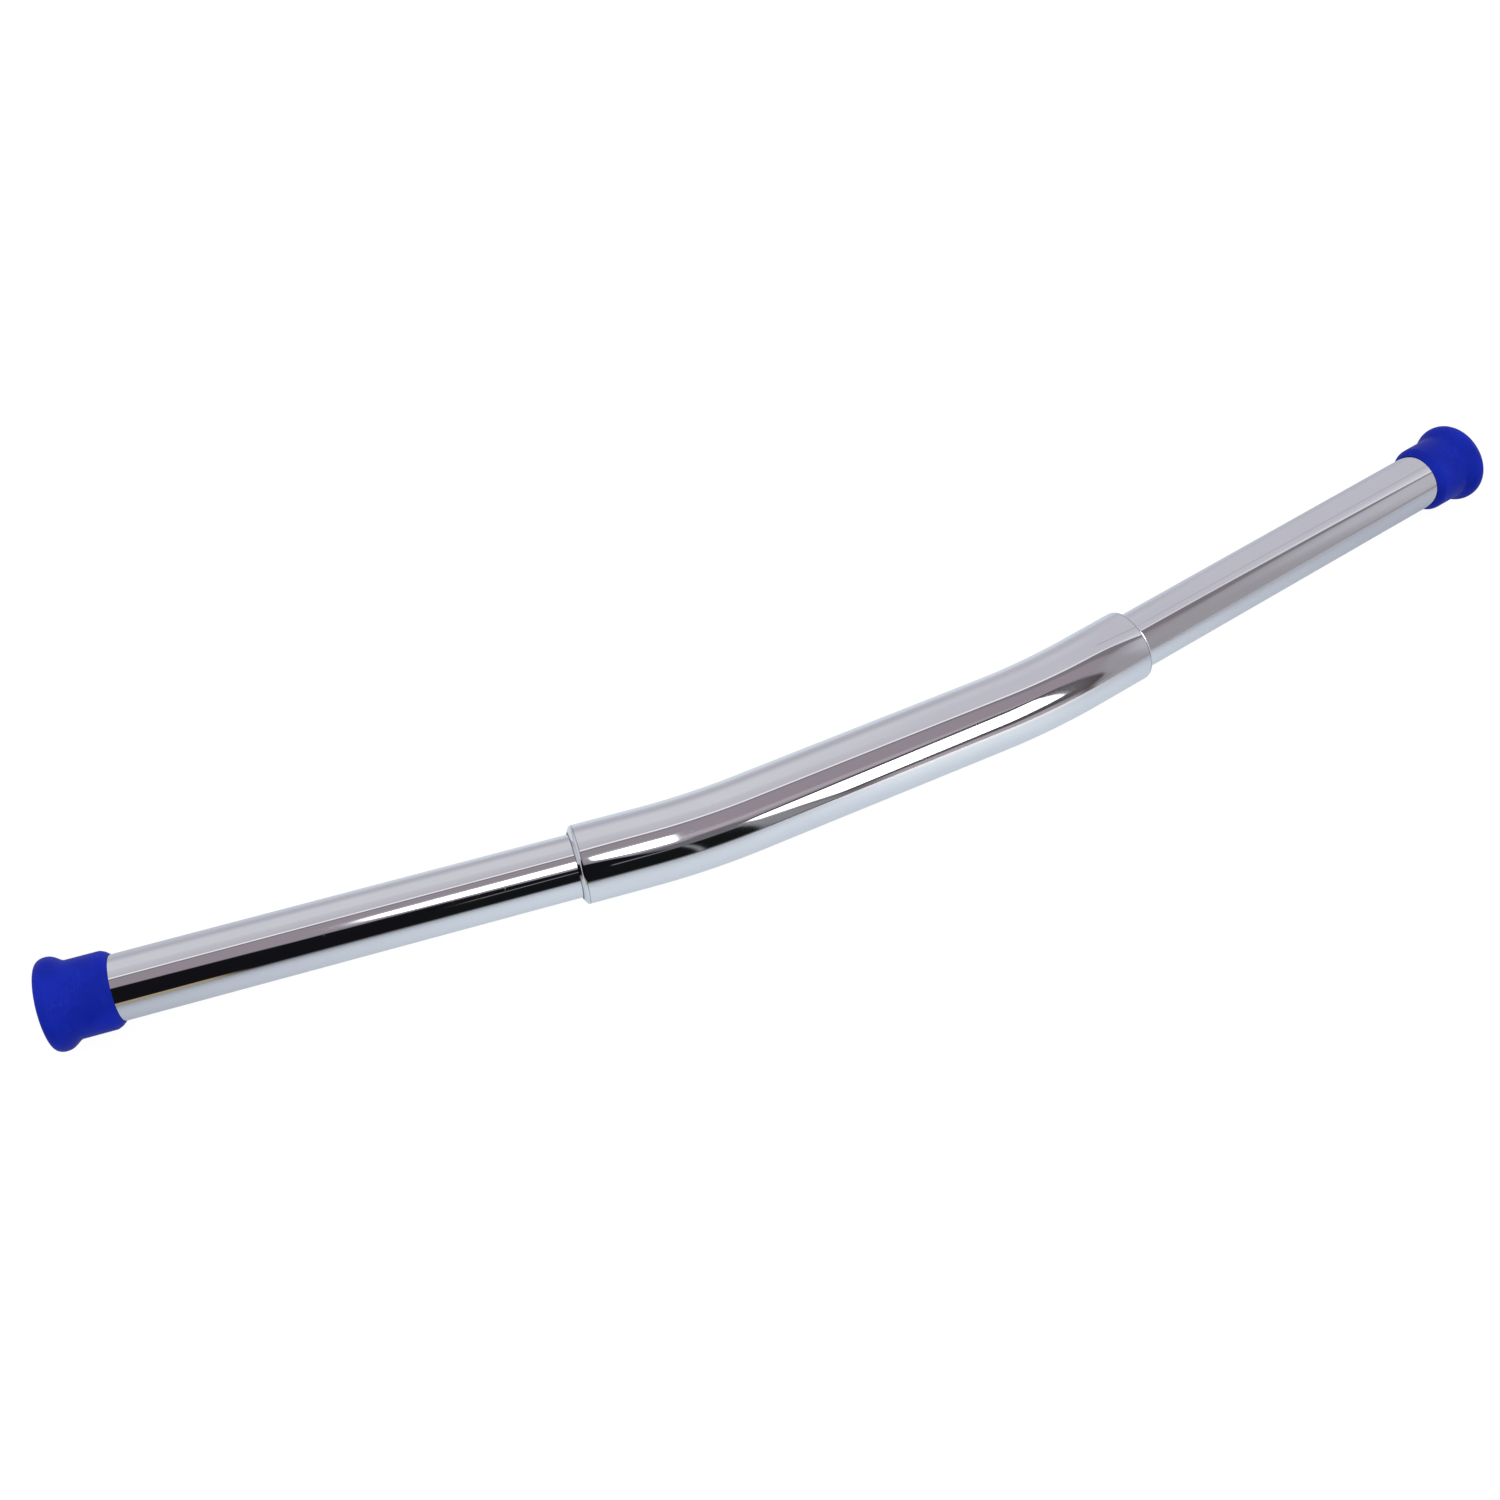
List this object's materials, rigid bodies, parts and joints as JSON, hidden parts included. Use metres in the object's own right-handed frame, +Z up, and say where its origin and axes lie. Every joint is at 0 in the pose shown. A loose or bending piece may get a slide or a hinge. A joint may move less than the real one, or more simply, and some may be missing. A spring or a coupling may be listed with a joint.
{
  "type": "doorway pull up bar",
  "caption": "Telescopic doorway pull up bar with a cranked chrome centre sleeve, screw-out chrome inner tubes and flanged blue rubber end caps.",
  "frame": {"origin": "middle of the bar's box, on the level surface that it lies on", "axes": "X runs along the bar, Y points to the side that the ends are bent towards, Z is up; the bar lies on its sleeve and both cap flanges"},
  "size_m": [0.6552, 0.0666, 0.0358],
  "materials": {
    "chrome": "bright chrome plate on steel tube",
    "zinc_steel": "zinc plated turned steel",
    "black_nylon": "moulded nylon, satin",
    "blue_rubber": "soft moulded rubber, satin"
  },
  "bodies": {
    "sleeve": {"centre_sleeve": "chrome", "left_anchor_disc": "zinc_steel", "left_lock_nut": "zinc_steel", "left_spindle": "zinc_steel", "left_stop_collar": "zinc_steel", "left_stop_pin": "zinc_steel", "left_guide_bush": "black_nylon", "right_anchor_disc": "zinc_steel", "right_lock_nut": "zinc_steel", "right_spindle": "zinc_steel", "right_stop_collar": "zinc_steel", "right_stop_pin": "zinc_steel", "right_guide_bush": "black_nylon"},
    "left_foot": {"left_end_cap": "blue_rubber", "left_pressure_disc": "zinc_steel"},
    "left_tube": {"left_inner_tube": "chrome", "left_spindle_nut": "zinc_steel", "left_end_plug": "black_nylon"},
    "right_foot": {"right_end_cap": "blue_rubber", "right_pressure_disc": "zinc_steel"},
    "right_tube": {"right_inner_tube": "chrome", "right_spindle_nut": "zinc_steel", "right_end_plug": "black_nylon"}
  },
  "joints": [
    {"name": "left_slide", "type": "slide", "parent": "sleeve", "child": "left_foot", "axis": [-0.991, 0.1337, 0.0082], "range_m": [-0.0045, 0.0315]},
    {"name": "left_turn", "type": "hinge", "parent": "left_foot", "child": "left_tube", "pos_m": [-0.2261, 0.0026, 0.01709], "axis": [-0.991, 0.1337, 0.0082], "range_deg": [-540, 3780]},
    {"name": "right_slide", "type": "slide", "parent": "sleeve", "child": "right_foot", "axis": [0.991, 0.1337, 0.0082], "range_m": [-0.002, 0.034]},
    {"name": "right_turn", "type": "hinge", "parent": "right_foot", "child": "right_tube", "pos_m": [0.22857, 0.0026, 0.01709], "axis": [0.991, 0.1337, 0.0082], "range_deg": [-240, 4080]}
  ],
  "couplings": [
    {"joint": "left_turn", "follows": "left_slide", "rad_per_m": 2094.4},
    {"joint": "right_turn", "follows": "right_slide", "rad_per_m": 2094.4}
  ]
}
